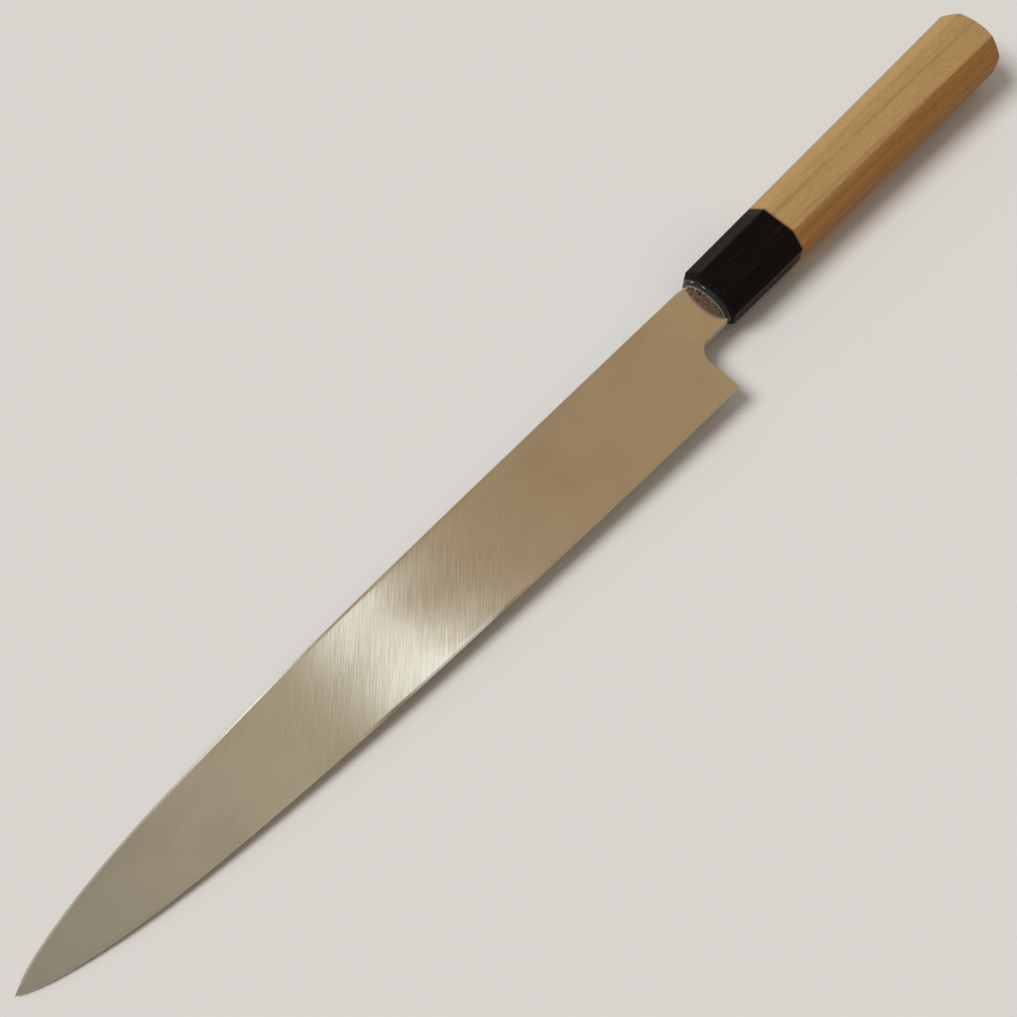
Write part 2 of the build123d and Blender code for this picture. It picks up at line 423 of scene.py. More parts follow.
def makeWood():
    # Pale wood: growth rings, flecks and pores in layers over the grain
    look = woodLook
    material, nodes, shader = newMaterial("hoWood")
    place = nodes.knifeFrame()
    x, y, z = nodes.add("ShaderNodeSeparateXYZ", Vector=place).outputs
    grain = nodes.noise(nodes.stretched(place, look["grainScale"]), detail=3.0, roughness=0.55)
    flecks = nodes.noise(nodes.stretched(place, look["fleckScale"]), detail=3.0, roughness=0.65)
    pores = nodes.noise(nodes.stretched(place, look["poreScale"]), roughness=0.6)
    fromPith = nodes.add("ShaderNodeMapping", Vector=place, Location=look["pith"],
                         Scale=look["ringStretch"]).outputs[0]
    wave = nodes.add("ShaderNodeTexWave",
                     {"wave_type": "RINGS", "rings_direction": "X", "wave_profile": "SAW"},
                     Vector=fromPith, Scale=look["ringScale"], Distortion=look["ringWander"], Detail=2.0)
    nodes.give(wave, "Detail Scale", look["ringDetailScale"])
    rings = wave.outputs["Fac"]
    colour = nodes.mix(nodes.span(grain, *look["grainSpan"]), look["early"], look["late"])
    for pattern, name in ((rings, "rings"), (flecks, "darkFlecks"), (flecks, "paleFlecks"), (pores, "pores")):
        tone, start, full, share = look[name]
        colour = nodes.mix(nodes.span(pattern, start, full, 0.0, share), colour, tone)
    # Browner where the horn meets it
    joint = nodes.math("MULTIPLY", nodes.within(x, look["jointPlace"]), look["jointShare"])
    colour = nodes.mix(joint, colour, look["joint"])
    # The tenon's end is darkened, partly by a real stain and partly as painted shade, with bright specks,
    # inside a pale rim
    squares = [nodes.math("POWER", nodes.math("MULTIPLY", nodes.math("ABSOLUTE", part), 2.0 / size), 2.0)
               for part, size in ((y, wood["tenonHeight"]), (z, wood["tenonWidth"]))]
    inside = nodes.span(nodes.math("ADD", *squares), *look["tenonRimSpan"])
    mottle = nodes.noise(place, detail=3.0, roughness=0.6)
    stain = nodes.mix(nodes.span(mottle, *look["brownSpan"]), look["tenonStainAndShade"], look["tenonBrown"])
    stain = nodes.mix(nodes.span(mottle, *look["speckSpan"]), stain, look["tenonSpeck"])
    stain = nodes.mix(inside, look["tenonRim"], stain)
    colour = nodes.mix(nodes.span(x, *look["endPlace"], 1.0, 0.0), colour, stain)
    # Painted shade: the wood is darker and redder towards the edge's side, which is turned from the key light
    colour = nodes.mix(nodes.span(y, *look["paintedShadePlace"]), colour, look["red"], "MULTIPLY")
    nodes.give(shader, "Base Color", colour)
    nodes.give(shader, "Roughness", nodes.span(pores, *look["roughSpan"], *look["roughness"]))
    nodes.give(shader, "Specular IOR Level", look["specular"])
    nodes.relief(shader, pores, look)
    return material


resinLook = {
    "lumpScale": 1.1,
    "dark": rgb(0.06, 0.025, 0.012),
    "amber": rgb(0.16, 0.08, 0.045),
    "roughSpan": (0.3, 0.7),
    "roughness": (0.12, 0.22),
    "bumpStrength": 0.8,
    "bumpHeight": 0.0003,
}


def makeResin():
    # Dark amber with shallow lumps
    look = resinLook
    material, nodes, shader = newMaterial("resin")
    lumps = nodes.noise(nodes.knifeFrame(), look["lumpScale"])
    nodes.give(shader, "Base Color", nodes.mix(lumps, look["dark"], look["amber"]))
    nodes.give(shader, "Roughness", nodes.span(lumps, *look["roughSpan"], *look["roughness"]))
    nodes.relief(shader, lumps, look)
    return material


# Blade

blade = {
    "tipReach": 300.0,
    "tipDrop": 3.05,
    "spineRise": 13.25,
    "heelReach": 16.7,
    "heelDrop": 28.45,
    "heelLean": 0.8,
    "notchRadius": 6.4,
    "neckTop": 8.3,
    "neckBottom": 9.9,
    "shoulderLength": 6.5,
    "backPlane": 1.7,
    "neckThickness": 3.9,
    "tipThickness": 1.6,
    "steelAtNeck": 1.2,
    "steelAtTip": 0.5,
    "edgeThickness": 0.15,
    "bevelWidth": 15.0,
    "tipBevelSlope": 0.12,
    "wheelRadius": 430.0,
    "edgeRim": 1.0,
    "spineRim": 1.0,
    "spineFall": 0.18,
    "neckFadeReach": 42.0,
    "neckFadeLength": 28.0,
    "tipFadeReach": 268.0,
    "tipFadeLength": 18.0,
    # Hand grinding: each wave's length, its angle to the knife's axis, its phase and its share of the depth
    "waves": [(50.0, 1.56, 1.13, 0.28), (44.5, -0.615, 2.8, 0.14), (19.0, 1.1, 2.6, 0.04)],
    "easing": 0.14,  # rounding of the corner along the spine
    "edgeEasingShare": 0.3,  # how much of it there is along the edge
    "ironEasing": 0.35,  # rounding of the lower corner along the spine
    "ironEasingShare": 0.3,  # its most, as a share of the iron's thickness
    "crease": 0.05,  # half the width of the crease between a rim and the hollow
    "sliver": 0.02,  # least distance between two lanes of a section
    "leastIron": 0.16,  # height of the iron where it ends, near the tip
    "leastFlat": 0.08,  # and of the flat there
    # Near the tip rims, rounding and slivers shrink to these shares of the blade's height there
    "rimShare": 0.25,
    "easingShare": 0.05,
    "sliverShare": 0.02,
    # Share of the reach from the tip, then share of the rise or fall, as the outline was drawn
    "spineShares": [(0.0, 0.0), (0.0164, 0.185), (0.0528, 0.423), (0.125, 0.687), (0.2385, 0.876),
                    (0.392, 0.981), (0.528, 1.0), (0.75, 0.970), (1.0, 0.903)],
    "edgeShares": [(0.0, 0.0), (0.017, 0.0945), (0.055, 0.238), (0.13, 0.423), (0.265, 0.612),
                   (0.49, 0.797), (0.706, 0.9015), (0.8825, 0.972), (1.0, 1.0)],
    "edgeRows": 420,
    "heelRows": 12,
    "notchRows": 20,
    "neckRows": 12,
    "shoulderPoints": 60,
    "edgeRimLanes": 5,
    "hollowLanes": 44,
    "spineRimLanes": 4,
    "easingLanes": 4,
    "sideLanes": 6,
    "ironEasingLanes": 6,
    "ironSideLanes": 6,
    "ironFlatLanes": 10,
}

tang = {
    "length": 112.0,
    "rootTop": 6.2,
    "rootBottom": 6.6,
    "endTop": 2.3,
    "endBottom": 2.9,
    "endThickness": 2.0,
    "fit": 0.12,
    "endRoom": 4.0,
    "rows": 30,
}


def tangSides(x):
    # The tang tapers steadily from root to end: how far it reaches up and down in y, and its two sides in z
    share = x / tang["length"]
    top = tang["rootTop"] + (tang["endTop"] - tang["rootTop"]) * share
    bottom = tang["rootBottom"] + (tang["endBottom"] - tang["rootBottom"]) * share
    under = blade["backPlane"] - blade["neckThickness"]
    rootHigh = blade["backPlane"] - blade["steelAtNeck"]
    return top, bottom, under, rootHigh + (under + tang["endThickness"] - rootHigh) * share


def smoothLine(points, count=3000):
    # A cubic spline through the points, over the length of the chords. The slope at each end is that of the
    # parabola through the three points there.
    points = np.array(points, float)
    step = np.linalg.norm(np.diff(points, axis=0), axis=1)
    place = np.concatenate([[0], np.cumsum(step)])
    slope = np.diff(points, axis=0) / step[:, None]
    size = len(points)
    system = np.zeros((size, size))
    wanted = np.zeros((size, 2))
    system[0, 0] = system[-1, -1] = 1
    wanted[0] = slope[0] - (slope[1] - slope[0]) * step[0] / (step[0] + step[1])
    wanted[-1] = slope[-1] + (slope[-1] - slope[-2]) * step[-1] / (step[-1] + step[-2])
    inner = np.arange(1, size - 1)
    system[inner, inner - 1] = step[1:]
    system[inner, inner] = 2 * (step[:-1] + step[1:])
    system[inner, inner + 1] = step[:-1]
    wanted[inner] = 3 * (slope[:-1] * step[1:, None] + slope[1:] * step[:-1, None])
    tangent = np.linalg.solve(system, wanted)
    at = np.linspace(0, place[-1], count)
    span = np.clip(np.searchsorted(place, at, side="right") - 1, 0, size - 2)
    t = ((at - place[span]) / step[span])[:, None]
    h = step[span][:, None]
    return (
        points[span] * (1 + 2 * t) * (1 - t) ** 2 + points[span + 1] * t ** 2 * (3 - 2 * t)
        + tangent[span] * h * t * (1 - t) ** 2 - tangent[span + 1] * h * t ** 2 * (1 - t)
    )


def bladeLines():
    # The spine's and the edge's line, smooth curves through the points that the shares give
    spineReach = blade["tipReach"] - blade["shoulderLength"]
    edgeReach = blade["tipReach"] - blade["heelReach"]
    edgeFall = blade["heelDrop"] - blade["tipDrop"]
    spine = smoothLine([
        (-blade["tipReach"] + along * spineReach, -blade["tipDrop"] + up * blade["spineRise"])
        for along, up in blade["spineShares"]
    ])
    edge = smoothLine([
        (-blade["tipReach"] + along * edgeReach, -blade["tipDrop"] - down * edgeFall)
        for along, down in blade["edgeShares"]
    ])
    # The shoulder is an arc that leaves the spine along its slope and ends at the top of the neck
    start, leave = spine[-1], spine[-1] - spine[-2]
    chord = np.array([0, blade["neckTop"]]) - start
    bend = np.arctan2(chord[1], chord[0]) - np.arctan2(leave[1], leave[0])
    share = np.linspace(0, 1, blade["shoulderPoints"])[1:, None]
    swing = np.arctan2(leave[1], leave[0]) + bend * share
    length = np.linalg.norm(chord) * np.sin(bend * share) / np.sin(bend)
    shoulder = start + length * np.hstack([np.cos(swing), np.sin(swing)])
    return np.vstack([spine, shoulder]), edge


spineLine, edgeLine = bladeLines()


def spineAt(x):
    # The spine's y at x
    return np.interp(x, spineLine[:, 0], spineLine[:, 1])


def edgeAt(x):
    # The edge's y at x, carried straight on past the heel
    slope = (edgeLine[-1, 1] - edgeLine[-2, 1]) / (edgeLine[-1, 0] - edgeLine[-2, 0])
    beyond = np.maximum(x - edgeLine[-1, 0], 0)
    return np.interp(x, edgeLine[:, 0], edgeLine[:, 1]) + slope * beyond


def fromNeckToTip(x, neckValue, tipValue):
    # A size that changes steadily from the ferrule's front to the tip
    return neckValue - (tipValue - neckValue) * x / blade["tipReach"]


def bevelSlope(x):
    # How fast the bevel rises from the edge. At the heel it takes the full thickness over the bevel's width.
    full = fromNeckToTip(-blade["heelReach"], blade["neckThickness"], blade["tipThickness"])
    heelSlope = (full - blade["edgeThickness"]) / blade["bevelWidth"]
    return fromNeckToTip(x, heelSlope, blade["tipBevelSlope"])


def hollowDepth(x, y):
    # The depth that a wheel grinds between the two rims: half the width squared, less the distance from the
    # middle squared, over twice the wheel's radius. It fades at the neck and at the tip.
    low = edgeAt(np.minimum(x, -blade["heelReach"])) + blade["edgeRim"]
    high = spineAt(x) - blade["spineRim"]
    middle, half = (low + high) / 2, (high - low) / 2
    neckFade = (x + blade["neckFadeReach"]) / blade["neckFadeLength"]
    tipFade = (-blade["tipFadeReach"] - x) / blade["tipFadeLength"]
    fade = np.maximum(0, np.maximum(neckFade, tipFade))
    depth = (half ** 2 * (1 - fade ** 2) - (y - middle) ** 2) / (2 * blade["wheelRadius"])
    return np.maximum(depth, 0) * (1 + grindingWaves(x, y))


def grindingWaves(x, y):
    # The hollow is ground by hand, so its depth is uneven: a sum of three slanted sines, each a share of the
    # depth
    total = 0
    for length, angle, phase, swell in blade["waves"]:
        total = total + swell * np.sin(2 * pi * (x * cos(angle) + y * sin(angle)) / length + phase)
    return total


def bladeRows():
    # The lower line of the blade: along the edge, up the heel, round the notch and along the neck. Its x
    # never runs back, so each of its points starts one section.
    share = np.linspace(0, 1, blade["edgeRows"] + 1)[1:]
    edgeX = -blade["tipReach"] + (blade["tipReach"] - blade["heelReach"]) * share ** 1.5
    edge = np.stack([edgeX, edgeAt(edgeX)], axis=1)
    radius = blade["notchRadius"]
    heel = np.array([-blade["heelReach"], -blade["heelDrop"]])
    top = heel + [blade["heelLean"], blade["heelDrop"] - blade["neckBottom"]]
    rise = (top - heel) / np.linalg.norm(top - heel)
    lean = np.arctan2(rise[0], rise[1])
    centreY = -blade["neckBottom"] - radius
    centreX = heel[0] + rise[0] / rise[1] * (centreY - heel[1]) + radius / np.cos(lean)
    angle = np.linspace(pi - lean, pi / 2, blade["notchRows"])[:, None]
    notch = np.array([centreX, centreY]) + radius * np.hstack([np.cos(angle), np.sin(angle)])
    upHeel = heel + (notch[0] - heel) * np.linspace(0, 1, blade["heelRows"] + 2)[1:-1, None]
    neckX = np.linspace(notch[-1, 0], 0, blade["neckRows"] + 1)[1:]
    neck = np.stack([neckX, np.full_like(neckX, -blade["neckBottom"])], axis=1)
    return np.vstack([edge, upHeel, notch, neck])


def lanes(first, last, count, ends=(True, True)):
    # The first and last point, if wanted, and count points between, each with one value per section
    share = np.linspace(0, 1, count + 2)
    share = share[(0 if ends[0] else 1):(None if ends[1] else -1)]
    return first[:, None] * (1 - share) + last[:, None] * share


def bladeHeights(x):
    # The z of the back's plane, of the plane between steel and iron, and of the flat side
    back = blade["backPlane"]
    layer = back - fromNeckToTip(x, blade["steelAtNeck"], blade["steelAtTip"])
    flat = back - fromNeckToTip(x, blade["neckThickness"], blade["tipThickness"])
    return back, layer, flat


def bevelHeight(x, y):
    # The bevel's z: it falls away from the edge's foot by its slope times the distance from the edge
    return blade["backPlane"] - blade["edgeThickness"] - bevelSlope(x) * (y - edgeAt(x))


def bevelReaches(x, z):
    # The y at which the bevel has fallen to z
    return edgeAt(x) + (blade["backPlane"] - blade["edgeThickness"] - z) / bevelSlope(x)


def makeBladeSteel():
    # Each section runs across the back from the edge to the spine, down the spine's side, back under to the
    # line where the iron ends, and along the bevel to the edge
    x, low = bladeRows().T
    high = spineAt(x)
    width = high - low
    back, layer = bladeHeights(x)[:2]
    edgeLip = low + np.minimum(blade["edgeRim"], blade["rimShare"] * width)
    spineLip = high - np.minimum(blade["spineRim"], blade["rimShare"] * width)
    ease = np.minimum(blade["easing"], blade["easingShare"] * width)
    crease = np.minimum(blade["crease"], blade["sliverShare"] * width)
    y = np.hstack([
        lanes(low + blade["edgeEasingShare"] * ease, edgeLip - crease, blade["edgeRimLanes"]),
        lanes(edgeLip + crease, spineLip - crease, blade["hollowLanes"]),
        lanes(spineLip + crease, high - ease, blade["spineRimLanes"]),
    ])
    z = back - hollowDepth(x[:, None], y)
    # The rim along the spine falls off as a parabola
    rim = high - spineLip
    fall = blade["spineFall"] * (rim / blade["spineRim"]) ** 2
    z -= fall[:, None] * (np.maximum(y - spineLip[:, None], 0) / rim[:, None]) ** 2
    # The corner along the spine is a quarter round
    angle = np.linspace(0, pi / 2, blade["easingLanes"] + 1)[1:]
    y = np.hstack([y, high[:, None] - ease[:, None] * (1 - np.sin(angle))])
    z = np.hstack([z, back - fall[:, None] - ease[:, None] * (1 - np.cos(angle))])
    sliver = np.minimum(blade["sliver"], blade["sliverShare"] * width)
    lineY = np.clip(bevelReaches(x, layer), low + sliver, high - sliver)
    lineZ = np.maximum(layer, bevelHeight(x, lineY))
    footZ = np.minimum(np.maximum(layer, bevelHeight(x, low)), back - blade["edgeThickness"] / 2)
    sideZ = np.maximum(layer, bevelHeight(x, high))
    count = blade["sideLanes"]
    y = np.hstack([y, lanes(high, lineY, count), lanes(lineY, low, count, (False, True))])
    z = np.hstack([z, lanes(sideZ, lineZ, count), lanes(lineZ, footZ, count, (False, True))])
    rows = np.stack([np.broadcast_to(x[:, None], y.shape), y, z], axis=-1)
    piece = makePiece("bladeSteel", rows, firstCap=True, lastCap=True)
    setAttribute(piece, "fromEdge", (y - low[:, None]).ravel())
    setAttribute(piece, "fromSpine", (high[:, None] - y).ravel())
    return piece


def ironSections(x, high, top, lineY, lineZ, ridgeY, ridgeZ, spineZ):
    # Round the section: along the joint with the steel, down the spine's side with its lower corner eased,
    # along the flat to the ridge, up the bevel, and up the cut side to the joint
    sideLanes, flatLanes = blade["ironSideLanes"], blade["ironFlatLanes"]
    ease = np.minimum(blade["ironEasing"], blade["ironEasingShare"] * (top - spineZ))
    angle = np.linspace(0, pi / 2, blade["ironEasingLanes"])
    cornerY = high[:, None] - ease[:, None] * (1 - np.cos(angle))
    cornerZ = spineZ[:, None] + ease[:, None] * (1 - np.sin(angle))
    y = np.hstack([lanes(lineY, high, sideLanes), cornerY,
                   lanes(high - ease, ridgeY, flatLanes, (False, True)),
                   lanes(ridgeY, lineY, flatLanes, (False, True))])
    z = np.hstack([lanes(top, top, sideLanes), cornerZ,
                   lanes(spineZ, ridgeZ, flatLanes, (False, True)),
                   lanes(ridgeZ, lineZ, flatLanes, (False, True))])
    return np.stack([np.broadcast_to(x[:, None], y.shape), y, z], axis=-1)


def makeBladeIron():
    # The blade's sections, where there is iron under the steel, run on into those of the tang
    x, low = bladeRows().T
    high = spineAt(x)
    layer, flat = bladeHeights(x)[1:]
    sliver = blade["sliver"]
    lineY, ridgeY = bevelReaches(x, layer), bevelReaches(x, flat)
    keep = lineY < high - blade["leastIron"]
    x, low, high, layer, flat, lineY, ridgeY = (
        values[keep] for values in (x, low, high, layer, flat, lineY, ridgeY)
    )
    lineY = np.maximum(lineY, low)
    ridgeY = np.clip(ridgeY, lineY + sliver, high - blade["leastFlat"])
    lineZ = np.minimum(bevelHeight(x, lineY), layer - sliver / 2)
    lineZ = np.maximum(lineZ, flat + sliver / 2)
    ridgeZ = np.maximum(flat, bevelHeight(x, ridgeY))
    spineZ = np.maximum(flat, bevelHeight(x, high))
    bladePart = ironSections(x, high, layer, lineY, lineZ, ridgeY, ridgeZ, spineZ)
    tangX = np.linspace(0, 1, tang["rows"]) * tang["length"]
    top, bottom, under, over = tangSides(tangX)
    under = np.full_like(tangX, under)
    tangPart = ironSections(tangX, top, over, -bottom, under + sliver, -bottom + sliver, under, under)
    rows = np.concatenate([bladePart, tangPart])
    return makePiece("bladeIron", rows, firstCap=True, lastCap=True)


# Handle and ferrule

def octagonLoop(x, inset, easing, perCorner=5, alongFlat=8):
    # The octagon at x, drawn in by inset on every side, with its corners rounded. A point a little way along
    # each flat keeps the flats flat when they are shaded smoothly.
    x = np.atleast_1d(np.asarray(x, float))
    inset = np.broadcast_to(inset, x.shape)
    halfHeight = alongHandle(x, handle["frontHeight"], handle["buttHeight"]) / 2 - inset
    halfWidth = alongHandle(x, handle["frontWidth"], handle["buttWidth"]) / 2 - inset
    chamfer = alongHandle(x, handle["frontChamfer"], handle["buttChamfer"]) - inset * (1 - tan(pi / 8))
    radius = np.maximum(easing - inset, handle["leastEasing"])
    corners = []
    for corner in range(8):
        # Corners in order round the section, each between two facets 45 degrees apart
        first = corner * pi / 4
        distance = {0: halfHeight, 2: halfWidth, 4: halfHeight, 6: halfWidth}
        slanted = (halfHeight + halfWidth - chamfer) / np.sqrt(2)
        near = distance.get(corner, slanted)
        far = distance.get((corner + 1) % 8, slanted)
        # The corner is where the two facets' lines meet, and the arc's centre lies inside it
        near, far = near - radius, far - radius
        normalA = np.array([cos(first), sin(first)])
        normalB = np.array([cos(first + pi / 4), sin(first + pi / 4)])
        cross = normalA[0] * normalB[1] - normalA[1] * normalB[0]
        centreY = (near * normalB[1] - far * normalA[1]) / cross
        centreZ = (far * normalA[0] - near * normalB[0]) / cross
        angle = np.linspace(first, first + pi / 4, perCorner)
        support = handle["flatSupport"] * radius[:, None]
        y = centreY[:, None] + radius[:, None] * np.cos(angle)
        z = centreZ[:, None] + radius[:, None] * np.sin(angle)
        before = [y[:, :1] + support * sin(first), z[:, :1] - support * cos(first)]
        after = [y[:, -1:] - support * sin(angle[-1]), z[:, -1:] + support * cos(angle[-1])]
        across = np.hstack([before[0], y, after[0]])
        upwards = np.hstack([before[1], z, after[1]])
        corners.append(np.stack([across, upwards], axis=-1))
    corners = np.stack(corners, axis=1)
    # More points along each flat let the dome, the oval and the rims curve between the corners
    start, stop = corners[:, :, -1:], np.roll(corners, -1, axis=1)[:, :, :1]
    share = np.linspace(0, 1, alongFlat + 2)[1:-1, None]
    loop = np.concatenate([corners, start + (stop - start) * share], axis=2).reshape(len(x), -1, 2)
    return np.concatenate([np.broadcast_to(x[:, None, None], loop.shape[:2] + (1,)), loop], axis=-1)


def ovalLoop(x, height, width, like):
    # An oval at x with a point in the direction of each point of another loop
    angle = np.arctan2(like[:, 2] / width, like[:, 1] / height)
    y = height / 2 * np.cos(angle)
    z = width / 2 * np.sin(angle)
    return np.stack([np.full_like(y, x), y, z], axis=-1)


def boxLoop(x, top, bottom, low, high, like, power):
    # A rounded box at x between those four sides, as a superellipse
    centre = np.array([(top - bottom) / 2, (low + high) / 2])
    half = np.array([(top + bottom) / 2, (high - low) / 2])
    angle = np.arctan2(like[:, 2] / half[1], like[:, 1] / half[0])
    reach = (np.abs(np.cos(angle)) ** power + np.abs(np.sin(angle)) ** power) ** (-1 / power)
    y = centre[0] + half[0] * reach * np.cos(angle)
    z = centre[1] + half[1] * reach * np.sin(angle)
    return np.stack([np.full_like(y, x), y, z], axis=-1)


ferrule = {
    "drawInReach": 3.4,
    "drawInRows": 12,
    "ovalHeight": 20.2,
    "ovalWidth": 15.6,
    "rimEasing": 1.2,
    "rimRows": 10,
    "outsideRows": 8,
    "rearEasing": 0.16,
    "rearRows": 4,
    "boreHeight": 17.3,
    "boreWidth": 11.5,
    "boreEasing": 0.05,
    "faceShares": (0, 0.5, 0.9),  # rows of the front face, from the bore to the rim
}


def makeFerrule():
    # From the bore's rear to its front, over the front face and the rounded rim, and back along the outside
    length, easing = handle["ferruleLength"], handle["edgeEasing"]
    height, width = ferrule["ovalHeight"], ferrule["ovalWidth"]
    # The octagon draws in along a parabola to an oval, whose rim is a quarter round
    reach, radius = ferrule["drawInReach"], ferrule["rimEasing"]
    drawX = np.linspace(radius, reach, ferrule["drawInRows"])
    share = (((reach - drawX) / (reach - radius)) ** 2)[:, None, None]
    drawn = octagonLoop(drawX, 0, easing)
    like = drawn[0]
    oval = ovalLoop(0.0, height, width, like)
    drawn[..., 1:] = drawn[..., 1:] * (1 - share) + oval[None, :, 1:] * share
    rim = []
    for angle in np.linspace(0, pi / 2, ferrule["rimRows"])[:0:-1]:
        inset = 2 * radius * (1 - cos(angle))
        rim.append(ovalLoop(radius * (1 - sin(angle)), height - inset, width - inset, like))
    boreHeight, boreWidth, boreEase = ferrule["boreHeight"], ferrule["boreWidth"], ferrule["boreEasing"]
    bore = [ovalLoop(x, boreHeight, boreWidth, like) for x in (length, length / 2, boreEase)]
    mouth = ovalLoop(0.0, boreHeight + 2 * boreEase, boreWidth + 2 * boreEase, like)
    face = [mouth + (rim[0] - mouth) * share for share in ferrule["faceShares"]]
    rearEase = ferrule["rearEasing"]
    outside = octagonLoop(np.linspace(reach, length - rearEase, ferrule["outsideRows"])[1:], 0, easing)
    turnIn = np.linspace(0, pi / 2, ferrule["rearRows"])[1:]
    rear = octagonLoop(length - rearEase * (1 - np.sin(turnIn)), rearEase * (1 - np.cos(turnIn)), easing)
    rows = np.concatenate([bore, face, rim, drawn, outside, rear])
    return makePiece("hornFerrule", rows, joinEnds=True)


wood = {
    "tenonHeight": 17.2,
    "tenonWidth": 11.4,
    "tenonRows": ((0.0, 0.2), (0.06, 0.06), (0.2, 0.0)),  # x, and how far the tenon's end is drawn in there
    "sealDepth": 4.0,
    "sealMargin": 0.65,
    "sealPower": 8.0,  # of the superellipse: the higher, the squarer
    "slotPower": 30.0,
    "frontEasing": 0.16,
    "frontRows": 4,
    "gripRows": 12,
    "rimReach": 8.0,  # where the grip's sides stop, from the butt's end
    "rimRows": 7,
    "rimSection": 3.0,  # from the butt's end to the section whose size sets where the rim starts
    "domeRows": 14,
    "domeHole": 0.04,  # share of the dome that the last fan closes
}


def makeHandleWood():
    # From the end of the tang's slot out through the seal's pocket, over the tenon's end, along the tenon,
    # out to the grip, along it, round its rim and over the domed butt
    length, easing = handle["ferruleLength"], handle["edgeEasing"]
    like = octagonLoop(length, 0, easing)[0]
    fit, margin, depth = tang["fit"], wood["sealMargin"], wood["sealDepth"]
    slot = []
    for x in (tang["length"] + tang["endRoom"], depth):
        top, bottom, under, over = tangSides(x)
        slot.append(boxLoop(x, top + fit, bottom + fit, under - fit, over + fit, like, wood["slotPower"]))
    top, bottom, under, over = tangSides(0.0)
    pocket = [boxLoop(x, top + margin, bottom + margin, under - margin, blade["backPlane"] + margin, like,
                      wood["sealPower"]) for x in (depth, 0.0)]
    tenon = [ovalLoop(x, wood["tenonHeight"] - 2 * inset, wood["tenonWidth"] - 2 * inset, like)
             for x, inset in (*wood["tenonRows"], (length / 2, 0.0), (length, 0.0))]
    frontEase = wood["frontEasing"]
    turnOut = np.linspace(0, pi / 2, wood["frontRows"])
    front = octagonLoop(length + frontEase * (1 - np.cos(turnOut)), frontEase * (1 - np.sin(turnOut)), easing)
    gripX = np.linspace(length + frontEase, handle["length"] - wood["rimReach"], wood["gripRows"])[1:]
    grip = octagonLoop(gripX, 0, easing)
    # The rim is an arc that starts along the facet and ends along the dome
    radius, ease = handle["domeRadius"], handle["buttEasing"]
    edge = octagonLoop(handle["length"] - wood["rimSection"], 0, easing)[0]
    reach = np.hypot(edge[:, 1], edge[:, 2])
    end = np.arccos(reach / radius)
    inner = reach - ease * (1 - np.cos(end))
    centreX = domeCentre + np.sqrt(radius ** 2 - inner ** 2) - ease * np.sin(end)
    rim = []
    for share in np.linspace(0, 1, wood["rimRows"]):
        swing = end * share
        x = centreX + ease * np.sin(swing)
        scale = (reach - ease * (1 - np.cos(swing))) / reach
        across = octagonLoop(x, 0, easing)[np.arange(len(x)), np.arange(len(x))]
        rim.append(np.stack([x, across[:, 1] * scale, across[:, 2] * scale], axis=-1))
    last = rim[-1]
    lastReach = np.hypot(last[:, 1], last[:, 2])
    dome = []
    for share in np.linspace(1, wood["domeHole"], wood["domeRows"])[1:]:
        x = domeCentre + np.sqrt(radius ** 2 - (lastReach * share) ** 2)
        dome.append(np.stack([x, last[:, 1] * share, last[:, 2] * share], axis=-1))
    rows = np.concatenate([slot, pocket, tenon, front, grip, rim, dome])
    return makePiece("handleWood", rows, firstCap=True, lastCap=True)


dress(makeBladeSteel(), ["blade_steel"], makeHardSteel())
dress(makeBladeIron(), ["blade_iron"], makeSoftIron())
print("blade made")
hornFerrule, handleWood = makeFerrule(), makeHandleWood()
dress(hornFerrule, ["horn_ferrule"], makeHorn())
dress(handleWood, ["handle_wood"], makeWood())
print("handle made")

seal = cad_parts["mouth_seal"]
seal.material_slots[0].material = makeResin()
print("seal dressed")


# Table, light and camera

windowLight = rgb(0.58, 0.66, 0.74)

studio = {
    "floorColour": rgb(0.80, 0.79, 0.77),
    "floorSize": 6.0,
    "floorRoughness": 0.9,
    "backdrop": rgb(0.75, 0.74, 0.72),
    "horizon": rgb(0.62, 0.60, 0.57),
    "ceiling": rgb(0.400, 0.302, 0.195),
    # What the ceiling turns to along x: where each colour starts, where it is full, and the colour
    "ceilingSteps": [
        (0.26, 0.12, rgb(0.475, 0.442, 0.350)),
        (0.39, 0.45, rgb(0.485, 0.365, 0.215)),
        (0.06, -0.04, rgb(0.325, 0.315, 0.285)),
        (-0.3, -0.5, windowLight),
    ],
    "windowPlace": (-0.2, -0.6),  # where the horizon turns to the window's light, along x
    "ceilingHeight": (0.2, 0.75),  # where the horizon turns to the ceiling, along z
    "fill": rgb(0.37, 0.365, 0.355),
    "warmFill": rgb(0.30, 0.22, 0.15),
    "fillPlace": (-0.7, 0.1),  # from the warm fill to the other, along y
    "keyPlace": (-1.15, 0.85, 1.79),
    "keyStrength": 2.1,
    "keySpread": radians(26.0),
}


def makeFloor():
    # A plain pale sheet under the knife
    half = studio["floorSize"] / 2
    mesh = bpy.data.meshes.new("floor")
    corners = [(-half, -half, 0), (half, -half, 0), (half, half, 0), (-half, half, 0)]
    mesh.from_pydata(corners, [], [(0, 1, 2, 3)])
    floor = bpy.data.objects.new("floor", mesh)
    bpy.context.scene.collection.objects.link(floor)
    material, nodes, shader = newMaterial("floorPaper")
    nodes.give(shader, "Base Color", studio["floorColour"])
    nodes.give(shader, "Roughness", studio["floorRoughness"])
    nodes.give(shader, "Specular IOR Level", 0.0)
    mesh.materials.append(material)


